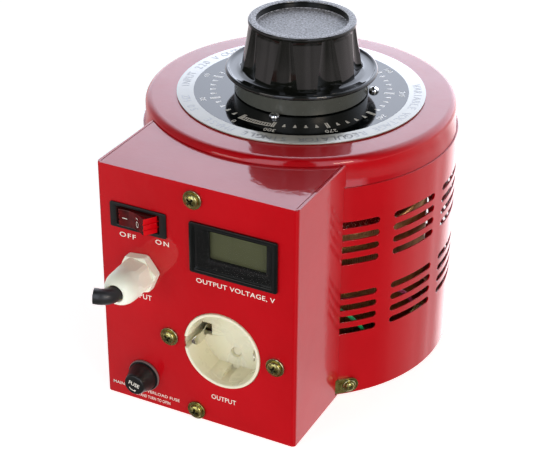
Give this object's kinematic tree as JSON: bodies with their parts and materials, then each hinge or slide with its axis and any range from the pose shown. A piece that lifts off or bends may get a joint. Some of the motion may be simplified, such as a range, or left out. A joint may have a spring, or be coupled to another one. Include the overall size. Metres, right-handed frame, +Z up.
{
  "type": "variac autotransformer",
  "caption": "Round slotted drum with a top dial and fluted knob that turns a brush arm on a toroidal winding, and a front box with switch, meter, socket, fuse and cable gland.",
  "frame": {"origin": "middle of the base plate's underside, on the drum's axis", "axes": "+Z up along the drum and knob axis, -Y out of the front panel, +X to the right seen from the front"},
  "size_m": [0.168, 0.2351, 0.18],
  "materials": {
    "red_enamel": "gloss enamel with a light orange peel",
    "zinc": "yellow zinc plating",
    "dial_aluminium": "fine brushed aluminium with black printing",
    "bright_steel": "bright plated steel",
    "core_steel": "wound silicon-steel strip",
    "phenolic_board": "brown phenolic board",
    "copper_winding": "enamelled copper wire",
    "brass": "bare brass",
    "cast_aluminium": "cast aluminium",
    "carbon": "pressed carbon",
    "knob_bakelite": "polished black moulding",
    "black_plastic": "black moulded plastic",
    "rocker_red": "translucent red plastic",
    "meter_lens": "clear window",
    "lcd_glass": "blank liquid-crystal display",
    "ivory_plastic": "ivory moulded plastic",
    "nickel_strip": "nickel-plated strip",
    "white_nylon": "off-white nylon",
    "black_rubber": "black cable sheath",
    "fuse_glass": "glass tube fuse",
    "green_wire": "green insulation",
    "crimson_wire": "dark red insulation",
    "brown_wire": "brown insulation",
    "blue_wire": "blue insulation"
  },
  "bodies": {
    "root": {"base_plate": "zinc", "drum_shell": "red_enamel", "top_lid": "red_enamel", "dial_plate": "dial_aluminium", "dial_screw_1": "bright_steel", "dial_screw_2": "bright_steel", "dial_screw_3": "bright_steel", "lower_clamp": "phenolic_board", "toroid_pad": "phenolic_board", "lower_liner": "phenolic_board", "toroid_core": "core_steel", "upper_liner": "phenolic_board", "winding": "copper_winding", "upper_clamp": "phenolic_board", "tie_bolt_1": "zinc", "tie_bolt_2": "zinc", "tie_bolt_3": "zinc", "stop_pin": "bright_steel", "lower_bush": "brass", "upper_bush": "brass", "collector_leaf": "brass", "front_box": "red_enamel", "box_bracket": "zinc", "ear_left": "zinc", "ear_right": "zinc", "ear_screw_left": "zinc", "ear_screw_right": "zinc", "panel_screw_top": "zinc", "panel_screw_bottom": "zinc", "panel_screw_left": "zinc", "panel_screw_right": "zinc", "switch_body": "black_plastic", "meter_housing": "black_plastic", "meter_window": "meter_lens", "meter_lcd": "lcd_glass", "socket_body": "ivory_plastic", "socket_contact_upper": "brass", "socket_contact_lower": "brass", "socket_earth_strap": "nickel_strip", "fuse_holder": "black_plastic", "fuse_nut": "white_nylon", "gland_body": "white_nylon", "gland_locknut": "white_nylon", "gland_nut": "white_nylon", "gland_seal": "black_rubber", "mains_cable": "black_rubber", "earth_wire": "green_wire", "neutral_wire": "crimson_wire", "live_wire": "brown_wire", "output_wire": "blue_wire"},
    "rotor": {"shaft": "bright_steel", "slip_ring": "brass", "brush_arm": "cast_aluminium", "brush_spring": "bright_steel", "knob": "knob_bakelite", "knob_set_screw": "bright_steel"},
    "brush": {"carbon_brush": "carbon"},
    "rocker": {"switch_rocker": "rocker_red"},
    "fuse_link": {"fuse_cartridge": "fuse_glass"},
    "fuse_top": {"fuse_cap": "black_plastic"}
  },
  "joints": [
    {"name": "dial_turn", "type": "hinge", "parent": "root", "child": "rotor", "pos_m": [0, 0, 0], "axis": [0, 0, -1], "range_deg": [-135, 202.5]},
    {"name": "brush_lift", "type": "slide", "parent": "rotor", "child": "brush", "axis": [0, 0, 1], "range_m": [0, 0.002], "deforming": ["brush_spring"]},
    {"name": "rocker_tilt", "type": "hinge", "parent": "root", "child": "rocker", "pos_m": [-0.0319, -0.1119, 0.1092], "axis": [0, 0, 1], "range_deg": [0, 26]},
    {"name": "fuse_pull", "type": "slide", "parent": "root", "child": "fuse_link", "axis": [0, -1, 0], "range_m": [0, 0.03]},
    {"name": "fuse_turn", "type": "hinge", "parent": "fuse_link", "child": "fuse_top", "pos_m": [-0.0319, -0.1151, 0.0171], "axis": [0, -1, 0], "range_deg": [0, 60]}
  ]
}
